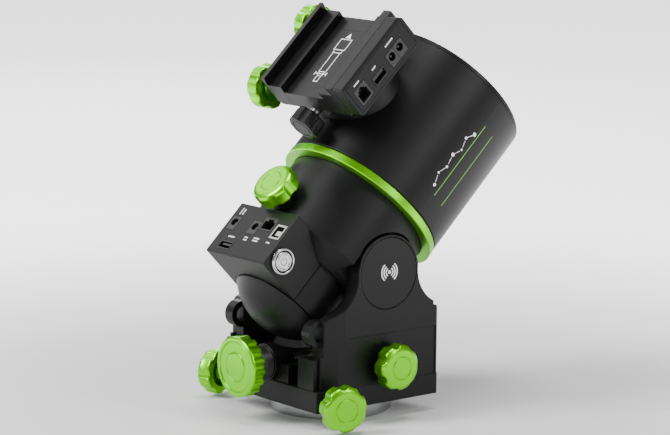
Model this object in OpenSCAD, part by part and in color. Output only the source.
// Equatorial telescope mount: azimuth base, fork, polar housing and dual saddle.
// Millimetres. The origin is the centre of the tripod face, +Z up, +Y towards
// the pole, -Y towards the altitude knob, X along the altitude axis.

/* [Stance] */
// Altitude of the polar axis at rest, degrees
rest_altitude = 44; // [40:1:48]
// Height of the altitude axis above the tripod face
pivot_z = 108.9; // [108.4:0.1:110]
// Altitude axis, distance north of the azimuth axis
pivot_y = 7.2; // [6.8:0.1:7.6]
// Polar axis above the altitude axis
axis_off = 16.6; // [16.2:0.1:17]

/* [Base] */
// Tripod puck radius
puck_r = 46; // [44:0.5:48]
// Tripod puck thickness
puck_h = 12.2; // [11.8:0.1:12.3]
// Base plate half width
plate_x = 57; // [56.6:0.1:57.4]
// Base plate front edge
plate_y0 = -58; // [-58.6:0.1:-57.6]
// Base plate rear edge
plate_y1 = 57; // [56.6:0.1:58]
// Top of the base plate
plate_z = 28; // [27.8:0.1:28.2]
// Wall radius of the tripod thread, three eighths inch sixteen
tripod_thread_r = 4; // [3.9:0.05:4.1]

/* [Fork] */
// Outer face of the fork arms
arm_x = 58; // [57.8:0.1:58.4]
// Inner face of the arm heads
head_x = 46; // [45.9:0.05:46.2]
// Inner face of the lower arms
arm_in = 41.5; // [41.3:0.1:41.8]
// Radius of the arm heads and of the hollows beside them
head_r = 28.2; // [27.8:0.1:28.4]
// Front edge of the arms
arm_y0 = -50; // [-50.4:0.1:-49.6]
// Radius of the disc caps
cap_r = 26.6; // [26:0.1:26.8]

/* [Polar housing] */
// Barrel radius of the fixed housing
barrel_r = 57.5; // [57:0.1:57.8]
// Radius of the tail below the shoulder
tail_r = 38; // [37.6:0.1:38.2]
// Lower end of the tail, along the polar axis
tail_end = -60.4; // [-61:0.1:-60]
// Height of the domed tail cap
dome_h = 17; // [14:0.5:18]
// Radius of the turning housing
drum_r = 64.9; // [64.5:0.1:65]
// Upper end of the turning housing
drum_end = 159.1; // [157:0.1:162]
// Radius of the green ring
ring_r = 65.3; // [65.1:0.1:66]

/* [Control box] */
// Half width of the control box
box_x = 34.3; // [34:0.1:34.6]
// Connector face, above the polar axis
box_n = 61; // [60.8:0.1:61.4]

/* [Saddle] */
// Declination axis position along the polar axis
dec_a = 102.5; // [102:0.1:103]
// Lower end of the saddle
saddle_a0 = 62.7; // [62.5:0.1:63]
// Upper end of the saddle
saddle_a1 = 139.4; // [138:0.1:142]
// Saddle floor height above the polar axis
floor_n = 98.6; // [98.4:0.1:98.8]
// Height of the narrow jaw lips
lip1_n = 104.5; // [104.2:0.1:104.8]
// Height of the wide jaw lips
lip2_n = 112.2; // [111.8:0.1:113]
// Half opening of the narrow jaws
lip1_x = 22; // [21.7:0.1:22.2]
// Half opening of the wide jaws
lip2_x = 35; // [34.8:0.1:35.2]

/* [Knobs] */
// Radius of the seven-lobed knobs
knob_r = 17; // [16.6:0.1:17.2]
// Thickness of the seven-lobed knobs
knob_h = 12.5; // [12:0.1:12.6]
// Radius of the altitude knob
big_r = 22.4; // [22:0.1:22.6]
// Radius of the saddle thumbscrew head
thumb_r = 12; // [11.6:0.1:12.2]

/* [Part] */
// Which piece to draw

/* [Hidden] */
$fn = 64;
paint = [0.13, 0.13, 0.14];
green = [0.45, 0.78, 0.12];
steel = [0.75, 0.75, 0.77];
dark = [0.06, 0.06, 0.07];
brass = [0.75, 0.6, 0.3];
puck_top = puck_h;
plate_z0 = 12.5;
az_tilt = 13;
az_y = -31.4;
az_z = 19;
worm_z = 41.1;
lock_z = 41;
bolt_y = [-22, 20, 42];
high_turn = 15.5;
barrel_a0 = -16;
barrel_a1 = 38.6;
cone_a0 = -27;
tail_off = 3;
flat_x = 45.5;
ring_a0 = 39.2;
ring_a1 = 45.7;
clamp_a = [72.5, 133.5];
clamp_n = 89.5;
port_x0 = 43.8;
port_x1 = 55.9;
thumb_n = 82;
teeth = 60;
worm_pitch = 6.5;

// Polar frame: Z along the polar axis, X along the altitude axis, Y away from the saddle.
module polar() {
  translate([0, pivot_y, pivot_z])
    rotate([rest_altitude - 90, 0, 0])
      translate([0, -axis_off, 0])
        children();
}

// Saddle frame: X across, Y along the polar axis, Z out along the declination axis.
module saddle() {
  polar() rotate([90, 0, 0]) children();
}

// Box between two corners.
module span(a, b) {
  translate(a) cube([b[0] - a[0], b[1] - a[1], b[2] - a[2]]);
}

// Cylinder along X.
module xcyl(x0, x1, r) {
  translate([x0, 0, 0]) rotate([0, 90, 0]) cylinder(h = x1 - x0, r = r);
}

// Upright plate with rounded vertical edges.
module round_plate(x0, x1, y0, y1, h, r) {
  union() {
    span([x0 + r, y0, 0], [x1 - r, y1, h]);
    span([x0, y0 + r, 0], [x1, y1 - r, h]);
    for (x = [x0 + r, x1 - r])
      for (y = [y0 + r, y1 - r])
        translate([x, y, 0]) cylinder(h = h, r = r, $fn = 32);
  }
}

// Seven-lobed knob with its threaded stud. The face is at z = 0, the stud runs down.
module lobed_knob(r, h, stud_r, stud_end, sleeve = 0) {
  color(green) difference() {
    rotate_extrude() polygon([[0, -h + 1], [5.5, -h + 1], [5.5, -5], [r * 0.66, -5],
      [r * 0.72, -h], [r - 1.2, -h], [r, -h + 1.2], [r, -2.2], [r - 0.7, -0.7],
      [r - 2.2, 0], [0, 0]]);
    for (i = [0:6])
      rotate([0, 0, i * 360 / 7])
        translate([r + 3.2, 0, -h - 1]) cylinder(h = h + 2, r = 5.6, $fn = 40);
    rotate_extrude() translate([r * 0.55, -0.35]) square([0.5, 1]);
    translate([0, 0, -h - 1]) cylinder(h = h - 4, r = stud_r + 0.02);
  }
  color(steel) {
    translate([0, 0, -stud_end]) cylinder(h = stud_end - 5.05, r = stud_r);
    if (sleeve > 0)
      translate([0, 0, -h + 0.95 - sleeve]) cylinder(h = sleeve, r = stud_r + 1.5);
  }
}

// Solid shape of the fixed housing, grown by g for the pieces that lie against it.
module housing_form(g) {
  translate([0, 0, barrel_a0 - g])
    cylinder(h = barrel_a1 - barrel_a0 + 2 * g, r = barrel_r + g, $fn = 128);
  translate([0, 0, cone_a0 - g])
    cylinder(h = barrel_a0 - cone_a0 + 0.01, r1 = tail_r + tail_off + 0.4 + g, r2 = barrel_r + g, $fn = 128);
  translate([0, -tail_off, tail_end - g])
    cylinder(h = cone_a0 - tail_end + 2 * g, r = tail_r + g, $fn = 96);
}

// ---- tripod side ----
module base_puck() {
  color(steel) difference() {
    union() {
      rotate_extrude($fn = 128) polygon([[0, 0], [puck_r - 1, 0], [puck_r, 1],
        [puck_r, puck_top - 0.8], [puck_r - 0.8, puck_top], [0, puck_top]]);
      cylinder(h = 27.6, r = 14);
    }
    translate([0, 0, -1]) cylinder(h = 16, r = tripod_thread_r);
    translate([0, 0, 17]) cylinder(h = 12, r = 3.4);
    translate([0, az_y, 4]) cylinder(h = 12, r = 5.02);
  }
}

module azimuth_peg() {
  color(steel) translate([0, az_y, 4]) cylinder(h = 20.4, r = 5);
}

module pivot_bolt() {
  color(steel) difference() {
    union() {
      translate([0, 0, plate_z + 0.3]) cylinder(h = 1.7, r = 18);
      translate([0, 0, plate_z + 2]) cylinder(h = 4, r = 6.5);
      translate([0, 0, 18]) cylinder(h = plate_z - 16, r = 3.38);
    }
    translate([0, 0, plate_z + 3.4]) cylinder(h = 4, r = 3, $fn = 6);
  }
}

// ---- turntable ----
module base_plate() {
  color(paint) difference() {
    translate([0, 0, plate_z0])
      round_plate(-plate_x, plate_x, plate_y0, plate_y1, plate_z - plate_z0, 1.5);
    translate([0, 0, 10]) cylinder(h = 20, r = 14.05);
    translate([0, 0, 10]) span([-17, az_y - 8.5, 0], [17, az_y + 8.5, 15.5]);
    for (s = [0, 1])
      mirror([s, 0, 0]) {
        translate([0, az_y, az_z]) rotate([0, 0, -az_tilt]) xcyl(14, 70, 4.06);
        for (y = bolt_y) {
          translate([49.5, y, 10]) cylinder(h = 20, r = 2.6);
          translate([49.5, y, 10]) cylinder(h = 8, r = 4.6);
        }
      }
  }
}

module arm_outline() {
  difference() {
    union() {
      translate([pivot_y, pivot_z]) circle(r = head_r, $fn = 96);
      translate([arm_y0, plate_z]) square([plate_y1 - arm_y0, pivot_z - plate_z]);
    }
    for (s = [-1, 1])
      translate([pivot_y + s * (2 * head_r - 0.2), pivot_z]) circle(r = head_r, $fn = 96);
    for (s = [0, 1])
      translate([s == 0 ? arm_y0 : plate_y1, 0]) mirror([s, 0]) difference() {
        translate([-1, 74.5]) square([7, 12]);
        translate([6, 74.5]) circle(r = 6, $fn = 32);
      }
  }
}

// The right arm; the left one is its mirror image.
module fork_arm() {
  color(paint) difference() {
    union() {
      translate([head_x, 0, 0]) rotate([90, 0, 90])
        linear_extrude(arm_x - head_x) arm_outline();
      span([arm_in, arm_y0, plate_z], [head_x + 1, plate_y1, 72]);
      // Loop on the front edge
      translate([0, arm_y0 - 0.5, 69]) xcyl(arm_in, arm_in + 9, 10);
      // Foot block in front of the arm
      span([34, plate_y0 + 0.5, plate_z], [52, arm_y0 + 1, 50.8]);
      translate([54.2, arm_y0, plate_z]) cylinder(h = 25, r = 2.8, $fn = 32);
    }
    // Half-round opening of the loop
    intersection() {
      translate([0, arm_y0 - 0.5, 69]) xcyl(0, 60, 5.6);
      span([30, arm_y0 - 12, 55], [60, arm_y0, 85]);
    }
    // Lower panel set back from the raised face
    difference() {
      translate([plate_x, arm_y0 - 1, plate_z - 1]) cube([4, 54 - arm_y0 + 1, 64.4 - plate_z + 1]);
      difference() {
        span([50, arm_y0 - 2, plate_z - 2], [70, 0.7, 66]);
        translate([0, 0.7, 26]) xcyl(50, 70, 48.7);
      }
      span([50, 54, plate_z - 2], [70, 80, 66]);
    }
    // Front pillar turned slightly inwards, and rear edge bevel
    translate([arm_x, -33, 0]) rotate([0, 0, -11]) translate([0, -40, 20]) cube([10, 40, 72]);
    translate([arm_x, 54, 20]) rotate([0, 0, 40]) cube([10, 10, 70]);
    // Bearing seat and cap pocket
    translate([0, pivot_y, pivot_z]) {
      xcyl(head_x - 1, 54.9, 20);
      xcyl(54.8, arm_x + 1, cap_r + 0.15);
    }
    // Tapped hole of the lock screw
    translate([0, pivot_y, lock_z]) xcyl(30, 70, 4.05);
    // Clearance below the turning barrel
    translate([0, pivot_y, pivot_z]) xcyl(arm_in - 1, head_x, 31);
    // Tapped holes of the arm bolts
    for (y = bolt_y)
      translate([49.5, y, plate_z - 1]) cylinder(h = 15, r = 2.5);
  }
}

module fork_arm_right() {
  fork_arm();
}

module fork_arm_left() {
  mirror([1, 0, 0]) fork_arm();
}

module disc_cap() {
  color(paint) translate([0, pivot_y, pivot_z]) rotate([0, 90, 0])
    rotate_extrude($fn = 96) polygon([[0, 55.3], [cap_r, 55.3], [cap_r, arm_x - 0.5],
      [cap_r - 0.5, arm_x], [0, arm_x]]);
}

module cap_right() {
  disc_cap();
}

module cap_left() {
  mirror([1, 0, 0]) disc_cap();
}

module altitude_bushings() {
  color(brass) for (s = [0, 1])
    mirror([s, 0, 0]) translate([0, pivot_y, pivot_z]) difference() {
      xcyl(head_x + 0.4, 54.7, 19.95);
      xcyl(head_x - 1, 56, 14.06);
    }
}

// Casting that carries the altitude worm, bolted to the base plate.
module worm_block() {
  color(paint) difference() {
    union() {
      span([-22, plate_y0 + 1, plate_z], [22, -44, 41.5]);
      translate([0, -62, worm_z]) rotate([-90, 0, 0]) cylinder(h = 18, r = 14);
      span([-9, -45, plate_z], [9, 34, 31.5]);
      translate([0, 0, plate_z]) cylinder(h = 3.5, r = 24);
      span([-9, 27, plate_z], [9, 34, 49]);
    }
    span([-30, -70, 20], [30, -40, plate_z]);
    // Room for the dome at the highest altitude
    translate([0, pivot_y, pivot_z]) rotate([high_turn + rest_altitude - 90, 0, 0])
      translate([0, -axis_off - tail_off, tail_end - dome_h + 48.3]) sphere(r = 48.9, $fn = 96);
    translate([0, 0, -1]) cylinder(h = 60, r = 18.4);
    translate([0, -70, worm_z]) rotate([-90, 0, 0]) cylinder(h = 120, r = 5.06);
  }
}

module arm_bolts() {
  color(steel) for (s = [0, 1])
    mirror([s, 0, 0]) for (y = bolt_y)
      translate([49.5, y, 0]) difference() {
        union() {
          translate([0, 0, plate_z0 + 0.3]) cylinder(h = 5, r = 4.4);
          translate([0, 0, plate_z0 + 5]) cylinder(h = 24, r = 2.45);
        }
        translate([0, 0, plate_z0 - 1]) cylinder(h = 4, r = 2.3, $fn = 6);
      }
}

// Frame of an azimuth screw: X runs outwards from the peg.
module azimuth_screw() {
  translate([0, az_y, az_z]) rotate([0, 0, -az_tilt]) children();
}

module azimuth_pad() {
  color(brass) azimuth_screw() xcyl(5.4, 9.3, 4.8);
}

module azimuth_knob() {
  azimuth_screw() translate([84.8, 0, 0]) rotate([0, 90, 0])
    lobed_knob(knob_r, knob_h, 4, 84.8 - 9.7);
}

module azimuth_pad_right() {
  azimuth_pad();
}

module azimuth_pad_left() {
  mirror([1, 0, 0]) azimuth_pad();
}

module azimuth_knob_right() {
  azimuth_knob();
}

module azimuth_knob_left() {
  mirror([1, 0, 0]) azimuth_knob();
}

// ---- altitude drive ----
module altitude_knob() {
  color(green) translate([0, -89, worm_z]) rotate([-90, 0, 0]) difference() {
    rotate_extrude($fn = 96) polygon([[0, 0], [big_r - 1.4, 0], [big_r, 1.4],
      [big_r, 10.8], [big_r - 1.2, 12], [0, 12]]);
    for (i = [0:15])
      rotate([0, 0, i * 22.5 + 8])
        translate([big_r + 1.6, 0, 2]) cylinder(h = 12, r = 3.4, $fn = 24);
    rotate_extrude($fn = 96) translate([19.3, -1]) square([0.5, 1.5]);
    rotate_extrude($fn = 96) translate([11.2, -1]) square([0.5, 1.6]);
    translate([0, 0, 4.95]) cylinder(h = 20, r = 5.02);
  }
}

module worm_shaft() {
  color(steel) {
    translate([0, -84, worm_z]) rotate([-90, 0, 0]) cylinder(h = 40, r = 5);
    translate([0, -45, worm_z]) rotate([-90, 0, 0]) cylinder(h = 40, r = 3.4);
    translate([0, -76.5, worm_z]) rotate([-90, 0, 0]) cylinder(h = 14, r = 12.3);
    translate([0, pivot_y + 12.9, worm_z]) rotate([-90, 0, 0]) cylinder(h = 15, r = 5);
    // Single-start thread
    translate([0, pivot_y - 13.2, worm_z]) rotate([-90, 0, 0])
      rotate([0, 0, 90 + 13.2 * 360 / worm_pitch])
        linear_extrude(height = 26.2, twist = 26.2 * 360 / worm_pitch, slices = 44)
          translate([1.3, 0]) circle(r = 5.2, $fn = 12);
  }
}

module lock_knob() {
  translate([74.8, pivot_y, lock_z]) rotate([0, 90, 0])
    lobed_knob(knob_r, knob_h, 4, 74.8 - arm_in + 0.2);
}

module lock_knob_right() {
  lock_knob();
}

module lock_knob_left() {
  mirror([1, 0, 0]) lock_knob();
}

// ---- fixed polar housing ----
module lower_housing() {
  color(paint) polar() difference() {
    housing_form(0);
    for (s = [-1, 1]) {
      translate([s * (flat_x + 10), axis_off, 0]) rotate([0, 90, 0])
        cylinder(h = 20, r = 30, center = true, $fn = 96);
      translate([s * (flat_x + 10), 0, 0]) translate([-10, -12.4, -40]) cube([20, 60, 32]);
      translate([s * (flat_x + 10), 0, 0]) translate([-10, axis_off, -29]) cube([20, 50, 58]);
      translate([s * 44, axis_off, 0]) rotate([0, 90, 0]) cylinder(h = 10, r = 10, center = true);
    }
    intersection() {
      translate([0, 0, -7.6]) cylinder(h = 60, r = 52, $fn = 96);
      span([-41.9, -60, -8], [41.9, 60, 60]);
    }
    translate([0, 0, 32.8]) cylinder(h = 10, r = 52.6, $fn = 96);
    translate([0, -tail_off, tail_end - 1]) cylinder(h = 58, r = 34.5);
    span([-18, -44, -52], [18, -30, -36]);
    rotate([90, 0, 0]) cylinder(h = 70, r = 4.05);
  }
}

module dome_cap() {
  rs = (36.8 * 36.8 + dome_h * dome_h) / (2 * dome_h);
  color(paint) polar() translate([0, -tail_off, tail_end - 0.6]) difference() {
    union() {
      intersection() {
        translate([0, 0, rs - dome_h]) sphere(r = rs, $fn = 96);
        translate([0, 0, -dome_h - 1]) cylinder(h = dome_h + 1, r = 36.8, $fn = 96);
      }
      cylinder(h = 6, r = 34.45);
    }
    translate([0, 0, -3]) cylinder(h = 12, r = 31.5);
    intersection() {
      translate([0, 0, rs - dome_h + 2.5]) sphere(r = rs, $fn = 64);
      translate([0, 0, -dome_h]) cylinder(h = dome_h, r = 31.5);
    }
  }
}

// Frame of the connector face: X across, Y along the polar axis, Z out of the face.
module panel() {
  saddle() translate([0, 0, box_n]) children();
}

module control_box() {
  color(paint) polar() difference() {
    translate([-box_x, 0, 0]) rotate([90, 0, 90]) linear_extrude(2 * box_x)
      polygon([[-box_n, tail_end + 0.8], [-box_n + 0.8, tail_end], [-17, tail_end],
        [-17, -26], [-44, -16.2], [-box_n, -15]]);
    housing_form(0.05);
    span([-box_x + 2.5, -box_n + 2.5, tail_end + 2.5], [box_x - 2.5, -45, -20]);
    rotate([90, 0, 0]) {
      span([-31.4, -39, 50], [-22, -26.8, 70]);
      span([-6.8, -39, 50], [2.6, -26.8, 70]);
      span([3, -33.2, 50], [17.4, -21.8, 70]);
      span([19.8, -38.6, 50], [31, -25.8, 70]);
      span([-25.4, -56.2, 50], [-11.4, -48.6, 70]);
    }
    translate([0, -49.2, -48]) xcyl(20, 40, 9);
  }
}

module circuit_board() {
  color([0.05, 0.3, 0.12]) panel() difference() {
    span([-31, -57, -12.2], [18, -25, -10.6]);
    translate([-28, -54, -14]) cylinder(h = 6, r = 1.6);
    translate([15, -28, -14]) cylinder(h = 6, r = 1.6);
  }
}

module dc_jack() {
  color(dark) difference() {
    span([-4.65, -6, -10], [4.65, 6, 0.15]);
    translate([0, 1, -8]) cylinder(h = 9, r = 3.2);
  }
  color(steel) translate([0, 1, -8]) cylinder(h = 6.5, r = 1);
}

module power_sockets() {
  for (x = [-26.7, -2.1])
    panel() translate([x, -32.9, 0]) dc_jack();
}

module usb_a() {
  color(steel) difference() {
    span([-6.9, -3.7, -10], [6.9, 3.7, 0.15]);
    span([-6.3, -2.7, -9], [6.3, 2.7, 1]);
  }
  color(dark) span([-5.6, 0.3, -9.2], [5.6, 1.9, -1]);
}

module usb_a_socket() {
  panel() translate([-18.4, -52.4, 0]) usb_a();
}

module rj45_socket() {
  color(dark) panel() translate([10.2, -27.5, 0]) difference() {
    span([-7.1, -5.6, -10], [7.1, 5.6, 0.1]);
    span([-5.9, -4.6, -9], [5.9, 2.2, 1]);
    span([-3, 1, -9], [3, 4.4, 1]);
  }
}

module usb_b_socket() {
  panel() translate([25.4, -32.2, 0]) {
    color(steel) difference() {
      span([-5.5, -6.3, -10], [5.5, 6.3, 0.15]);
      span([-4.3, -4.8, -9], [4.3, 4.8, 1]);
    }
    color(dark) span([-2.6, -2.6, -9.2], [2.6, 1.4, -1]);
  }
}

// Frame of the power button: Z out of the side of the control box.
module button_frame() {
  polar() translate([box_x, -49.2, -48]) rotate([0, 90, 0]) children();
}

module button_bezel() {
  color(steel) button_frame() difference() {
    union() {
      rotate_extrude() polygon([[0, 0.05], [9.7, 0.05], [9.7, 1.2], [9.1, 1.8], [0, 1.8]]);
      translate([0, 0, -13]) cylinder(h = 14, r = 8.9);
    }
    translate([0, 0, -11]) cylinder(h = 14, r = 7.6);
  }
}

module power_button() {
  color(steel) button_frame() difference() {
    union() {
      rotate_extrude() polygon([[0, -3], [7.5, -3], [7.5, 1.7], [7, 2.2], [0, 2.2]]);
      translate([0, 0, -6]) cylinder(h = 4, r = 2);
    }
    rotate_extrude() translate([4.6, 2]) square([0.4, 1]);
  }
}

// Bellows spring that returns the button.
module button_spring() {
  color(steel) button_frame() rotate_extrude()
    polygon([[3.4, -10.9], [4, -10.9], [6, -9.4], [4, -7.9], [6, -6.4], [4, -4.9], [5.4, -3.2],
      [4.7, -3.2], [3.2, -4.9], [5.2, -6.4], [3.2, -7.9], [5.2, -9.4]]);
}

module trunnions() {
  color(steel) for (s = [0, 1])
    mirror([s, 0, 0]) translate([0, pivot_y, pivot_z]) difference() {
      union() {
        xcyl(flat_x, 54.7, 14);
        xcyl(42, flat_x + 1, 9.98);
      }
      xcyl(50, 56, 5.2);
      xcyl(40, 56, 3);
    }
}

// Flat sector about the altitude axis, from the polar direction p0 to p1.
module sector(r, p0, p1) {
  intersection() {
    circle(r = r, $fn = 128);
    polygon([[0, 0], [-2 * r * cos(p0), 2 * r * sin(p0)],
      [-3 * r * cos((p0 + p1) / 2), 3 * r * sin((p0 + p1) / 2)],
      [-2 * r * cos(p1), 2 * r * sin(p1)]]);
  }
}

// Turns a flat outline in the plane of the fork into the polar frame.
module in_fork_plane(x0, x1) {
  polar() translate([x0, axis_off, 0]) rotate([0, 90, 0])
    linear_extrude(x1 - x0) mirror([1, 0]) children();
}

module altitude_sector() {
  color(brass) difference() {
    in_fork_plane(-2.5, 2.5) difference() {
      sector(61.8, 20, 76);
      for (i = [0:10])
        rotate(-(90 - rest_altitude) + 27 - 6 * i + 0) translate([-61.9, 0])
          polygon([[-1, -2.2], [3.2, -1], [3.2, 1], [-1, 2.2]]);
      circle(r = 24);
    }
    polar() housing_form(0.05);
  }
}

module brake_quadrants() {
  color(steel) difference() {
    for (s = [-1, 1])
      in_fork_plane(s * 38.8 - 2, s * 38.8 + 2) difference() {
        sector(72, 20, 76);
        difference() {
          sector(58, 27, 69);
          circle(r = 40);
        }
        circle(r = 26);
      }
    polar() housing_form(0.05);
  }
}

module ra_motor() {
  color(dark) polar() difference() {
    union() {
      translate([0, 0, -54]) round_plate(-21, 21, -21, 21, 46, 3);
      translate([0, 0, -8.5]) cylinder(h = 2.4, r = 11);
    }
    translate([0, 0, -30]) cylinder(h = 40, r = 3.1);
  }
}

module ra_drive_frame() {
  color(steel) polar() difference() {
    intersection() {
      rotate_extrude($fn = 96) polygon([[11.2, -7.5], [51.9, -7.5], [51.9, 32], [33.5, 32],
        [33.5, 14], [47, 14], [47, -3.5], [11.2, -3.5]]);
      span([-41.7, -60, -10], [41.7, 60, 40]);
    }
    rotate([90, 0, 0]) cylinder(h = 70, r = 5);
  }
}

module ra_wave_generator() {
  color(steel) polar() {
    translate([0, 0, 17]) cylinder(h = 12, r = 31.2);
    translate([0, 0, -26]) cylinder(h = 44, r = 3);
  }
}

module top_knob() {
  saddle() translate([0, 0, 76]) lobed_knob(knob_r, knob_h, 4, 76 - 50);
}

// ---- turning polar housing ----
module ra_flexspline() {
  color(steel) polar() rotate_extrude($fn = 96)
    polygon([[31.8, 15], [33.3, 15], [33.3, 34], [48, 34], [48, 45.9], [6, 45.9], [6, 40],
      [31.8, 38]]);
}

module ra_seal() {
  color(dark) polar() rotate_extrude($fn = 96)
    polygon([[52.5, 38.9], [57.7, 38.9], [57.7, 45.9], [52.5, 45.9]]);
}

module green_ring() {
  color(green) polar() difference() {
    rotate_extrude($fn = 160) polygon([[57.9, ring_a0], [ring_r - 0.5, ring_a0],
      [ring_r, ring_a0 + 0.5], [ring_r, ring_a1 - 0.9], [ring_r - 0.9, ring_a1], [57.9, ring_a1]]);
    for (i = [0:7])
      rotate([0, 0, i * 45 + 22.5]) translate([61.5, 0, ring_a0 - 1]) cylinder(h = 9, r = 1.6, $fn = 24);
  }
}

module ring_screws() {
  color(steel) polar() for (i = [0:7])
    rotate([0, 0, i * 45 + 22.5]) translate([61.5, 0, 0]) difference() {
      translate([0, 0, ring_a0 - 0.1]) cylinder(h = 9.4, r = 1.55, $fn = 24);
      translate([0, 0, ring_a0 - 1]) cylinder(h = 2.4, r = 0.8, $fn = 6);
    }
}

module upper_housing() {
  color(paint) polar() difference() {
    union() {
      difference() {
        rotate_extrude($fn = 160) polygon([[0, ring_a1 + 0.3], [drum_r - 0.6, ring_a1 + 0.3],
          [drum_r, ring_a1 + 0.9], [drum_r, drum_end - 3.2], [60, drum_end - 3.2], [60, 52], [0, 52]]);
      }
      // Boss of the counterweight thread
      intersection() {
        translate([0, 52, dec_a]) rotate([-90, 0, 0]) cylinder(h = 20, r = 13);
        cylinder(h = 200, r = drum_r - 0.1, $fn = 160);
      }
    }
    // Seat of the declination drive
    translate([0, 0, dec_a]) rotate([90, 0, 0]) cylinder(h = 80, r = 30.5);
    // Counterweight thread and its spot face
    translate([0, 40, dec_a]) rotate([-90, 0, 0]) cylinder(h = 40, r = 5.1);
    translate([0, 64, dec_a]) rotate([-90, 0, 0]) cylinder(h = 10, r = 9);
    cylinder(h = 60, r = 12);
    for (i = [0:7])
      rotate([0, 0, i * 45 + 22.5]) translate([61.5, 0, 40]) cylinder(h = 9.4, r = 1.6, $fn = 24);
  }
}

module end_cover() {
  color(dark) polar() rotate_extrude($fn = 160)
    polygon([[0, drum_end - 4], [57, drum_end - 4], [57, drum_end - 9], [59.8, drum_end - 9],
      [59.8, drum_end - 2.9], [drum_r, drum_end - 2.9], [drum_r, drum_end - 0.8],
      [drum_r - 0.8, drum_end], [drum_r - 4, drum_end], [drum_r - 5, drum_end - 1.4],
      [0, drum_end - 1.4]]);
}

module dec_collar() {
  color(paint) saddle() difference() {
    union() {
      translate([0, dec_a, 40]) cylinder(h = 32, r = 32.8, $fn = 96);
    }
    difference() {
      rotate([-90, 0, 0]) cylinder(h = 200, r = drum_r + 0.05, $fn = 160);
      translate([0, dec_a, 0]) cylinder(h = 80, r = 30.4, $fn = 96);
    }
    translate([0, dec_a, 30]) cylinder(h = 60, r = 24.1, $fn = 96);
  }
}

module dec_drive_frame() {
  color(steel) saddle() translate([0, dec_a, 0]) rotate_extrude($fn = 96)
    polygon([[11.2, 38.5], [24, 38.5], [24, 66], [17, 66], [17, 52], [21.5, 52], [21.5, 42],
      [11.2, 42]]);
}

module dec_motor() {
  color(dark) saddle() translate([0, dec_a, 0]) difference() {
    union() {
      translate([0, 0, -4]) round_plate(-21, 21, -21, 21, 42.3, 3);
      translate([0, 0, 38]) cylinder(h = 2.4, r = 11);
    }
    translate([0, 0, 20]) cylinder(h = 40, r = 3.1);
  }
}

module dec_wave_generator() {
  color(steel) saddle() translate([0, dec_a, 0]) {
    translate([0, 0, 53]) cylinder(h = 9, r = 15);
    translate([0, 0, 22]) cylinder(h = 32, r = 3);
  }
}

// ---- saddle ----
module dec_flexspline() {
  color(steel) saddle() translate([0, dec_a, 0]) rotate_extrude($fn = 96)
    polygon([[15.6, 52.5], [16.8, 52.5], [16.8, 67], [23.6, 67], [23.6, 72.35], [0, 72.35], [0, 68],
      [15.6, 67]]);
}

module dec_flange() {
  color(paint) saddle() translate([0, dec_a, 0]) rotate_extrude($fn = 96)
    polygon([[0, 72.4], [31.8, 72.4], [32.3, 72.9], [32.3, 83.9], [0, 83.9]]);
}

// Bar with outline x across and y out, running along the polar axis.
module rail(a0, a1) {
  saddle() translate([0, a1, 0]) rotate([90, 0, 0]) linear_extrude(a1 - a0) children();
}

module saddle_body() {
  color(paint) difference() {
    union() {
      rail(saddle_a0, saddle_a1) polygon([[-22.7, 84], [-22.7, floor_n], [23, floor_n],
        [lip1_x, lip1_n], [38, lip1_n], [lip2_x, lip2_n], [43.5, lip2_n], [43.5, 84]]);
      rail(saddle_a0, 69.4) polygon([[-9, 76], [-9, 85], [9, 85], [9, 76], [6, 73.5], [-6, 73.5]]);
    }
    saddle() {
      for (a = clamp_a)
        translate([0, a, clamp_n]) xcyl(-30, 20, 4.06);
      for (a = [88, 116])
        translate([0, a, clamp_n]) xcyl(-30, 10, 3.02);
      translate([0, saddle_a0 - 1, thumb_n]) rotate([-90, 0, 0]) cylinder(h = 6.6, r = 3.96);
    }
  }
}

module moving_jaw() {
  color(paint) difference() {
    rail(saddle_a0, saddle_a1) polygon([[-40, lip2_n - 0.6], [-39.4, lip2_n], [-lip2_x, lip2_n],
      [-38, lip1_n], [-lip1_x, lip1_n], [-23, floor_n], [-23, 84], [-37.4, 84], [-40, 87]]);
    saddle() {
      for (a = clamp_a)
        translate([0, a, clamp_n]) xcyl(-50, 0, 4.3);
      for (a = [88, 116])
        translate([0, a, clamp_n]) xcyl(-50, 0, 3.05);
    }
  }
}

module guide_rods() {
  color(steel) saddle() for (a = [88, 116])
    translate([0, a, clamp_n]) xcyl(-40, 9, 3);
}

module clamp_knob(a) {
  saddle() translate([-66.5, a, clamp_n]) rotate([0, -90, 0])
    lobed_knob(knob_r, knob_h, 4, 66.5 + 14, 14.6);
}

module clamp_knob_low() {
  clamp_knob(clamp_a[0]);
}

module clamp_knob_high() {
  clamp_knob(clamp_a[1]);
}

module port_box() {
  color(paint) saddle() difference() {
    translate([port_x0, 0, 0]) rotate([90, 0, 90]) linear_extrude(port_x1 - port_x0)
      polygon([[saddle_a0, 86.5], [saddle_a0 + 2.5, 84.3], [133, 84.3], [136.6, 88],
        [136.6, 109.5], [134, lip2_n], [saddle_a0 + 1, lip2_n], [saddle_a0, lip2_n - 1]]);
    // Fine frame line round the connectors
    difference() {
      span([port_x1 - 0.35, 65.2, 86.2], [port_x1 + 1, 134.2, 110]);
      span([port_x1 - 2, 65.6, 86.6], [port_x1 + 2, 133.8, 109.6]);
    }
    // Bevel along the top edge
    translate([port_x1, 0, lip2_n - 1.6]) rotate([0, -45, 0]) translate([0, 50, 0]) cube([5, 100, 5]);
    span([port_x0 - 1, 68.6, 89.2], [port_x1 + 1, 81.8, 103.4]);
    span([port_x0 - 1, 86.6, 90.2], [port_x1 + 1, 101, 98]);
    span([port_x0 - 1, 106.3, 88.9], [port_x1 + 1, 125.5, 101.1]);
  }
}

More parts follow.
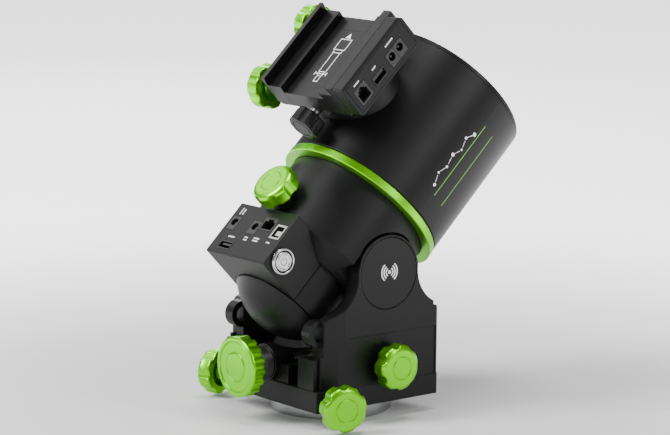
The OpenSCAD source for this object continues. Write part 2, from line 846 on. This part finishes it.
// Frame of a saddle connector: Z out of the port face, X up, Y along the polar axis.
module port(a, n) {
  saddle() translate([port_x1, a, n]) rotate([0, 90, 0]) children();
}

module handset_socket() {
  color(dark) port(75.2, 96.3) difference() {
    span([-7, -6.5, -10], [7, 6.5, 0.1]);
    span([-2.4, -4.9, -9], [5.4, 4.9, 1]);
    span([-4.2, -3.4, -9], [0, 3.4, 1]);
    span([-5.6, -1.7, -9], [0, 1.7, 1]);
  }
}

module saddle_usb_socket() {
  port(93.8, 94.1) rotate([0, 0, 90]) usb_a();
}

module saddle_dc_sockets() {
  for (a = [111.1, 120.7])
    port(a, 95) rotate([0, 0, 90]) dc_jack();
}

module thumbscrew() {
  saddle() translate([0, 0, thumb_n]) rotate([90, 0, 0]) {
    color(dark) translate([0, 0, -57.6]) difference() {
      rotate_extrude() polygon([[0, 0], [thumb_r - 0.8, 0], [thumb_r, 0.8], [thumb_r, 11.2],
        [thumb_r - 1.4, 12.4], [0, 12.4]]);
      for (i = [0:5])
        rotate([0, 0, i * 60]) translate([thumb_r + 3.4, 0, -1]) cylinder(h = 15, r = 4.8, $fn = 32);
      rotate_extrude() translate([7.2, 12.1]) square([0.5, 1]);
      translate([0, 0, -1]) cylinder(h = 5, r = 3.9);
    }
    color(steel) translate([0, 0, -67.8]) cylinder(h = 14.2, r = 3.9);
  }
}

base_puck();
azimuth_peg();
pivot_bolt();
base_plate();
fork_arm_right();
fork_arm_left();
cap_right();
cap_left();
altitude_bushings();
worm_block();
arm_bolts();
azimuth_pad_right();
azimuth_knob_right();
azimuth_pad_left();
azimuth_knob_left();
altitude_knob();
worm_shaft();
lock_knob_right();
lock_knob_left();
lower_housing();
dome_cap();
control_box();
circuit_board();
power_sockets();
usb_a_socket();
rj45_socket();
usb_b_socket();
button_bezel();
trunnions();
altitude_sector();
brake_quadrants();
ra_motor();
ra_drive_frame();
button_spring();
power_button();
top_knob();
ra_wave_generator();
upper_housing();
green_ring();
ring_screws();
end_cover();
ra_seal();
ra_flexspline();
dec_collar();
dec_motor();
dec_drive_frame();
dec_wave_generator();
dec_flange();
dec_flexspline();
saddle_body();
port_box();
handset_socket();
saddle_usb_socket();
saddle_dc_sockets();
guide_rods();
moving_jaw();
clamp_knob_low();
clamp_knob_high();
thumbscrew();
